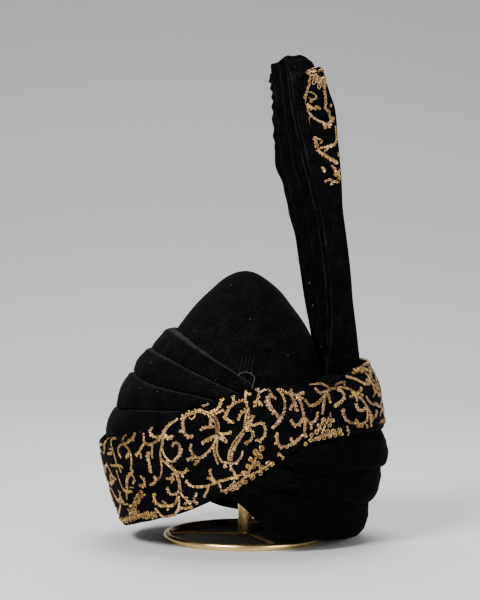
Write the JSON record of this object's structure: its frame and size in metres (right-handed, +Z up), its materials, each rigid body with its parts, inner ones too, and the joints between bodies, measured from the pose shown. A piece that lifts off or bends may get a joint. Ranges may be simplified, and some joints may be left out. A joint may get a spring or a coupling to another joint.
{
  "type": "kulla cap on a display stand",
  "caption": "Tall rounded velvet wedding cap with stepped folds, a tilted gold-embroidered band, lower wraps and an upright pleated plume, held on a plain brass ring-and-post stand.",
  "frame": {"origin": "on the table, on the axis of the stand's post, at the middle of its ring", "axes": "+Z up; -X towards the wearer's front, where the folds are; +X towards the back, where the plume stands; -Y the near side of the picture"},
  "size_m": [0.2523, 0.201, 0.418],
  "materials": {
    "black_velvet": "deep black cotton velvet with a short upright pile and a faint grey sheen at its rims",
    "gold_embroidered_velvet": "black velvet nearly covered with raised gold thread scrolls",
    "polished_brass": "polished, slightly satin gold-coloured brass wire and tube"
  },
  "bodies": {
    "root": {"crown": "black_velvet", "upper_fold_1": "black_velvet", "upper_fold_2": "black_velvet", "upper_fold_3": "black_velvet", "upper_fold_4": "black_velvet", "wound_base": "black_velvet", "lower_wrap_a": "black_velvet", "lower_wrap_b": "black_velvet", "lower_wrap_c": "black_velvet", "turra_fan": "black_velvet", "band": "gold_embroidered_velvet", "turra_panel": "gold_embroidered_velvet", "stand_base": "polished_brass", "stand_post": "polished_brass", "stand_disc": "polished_brass"}
  },
  "joints": []
}
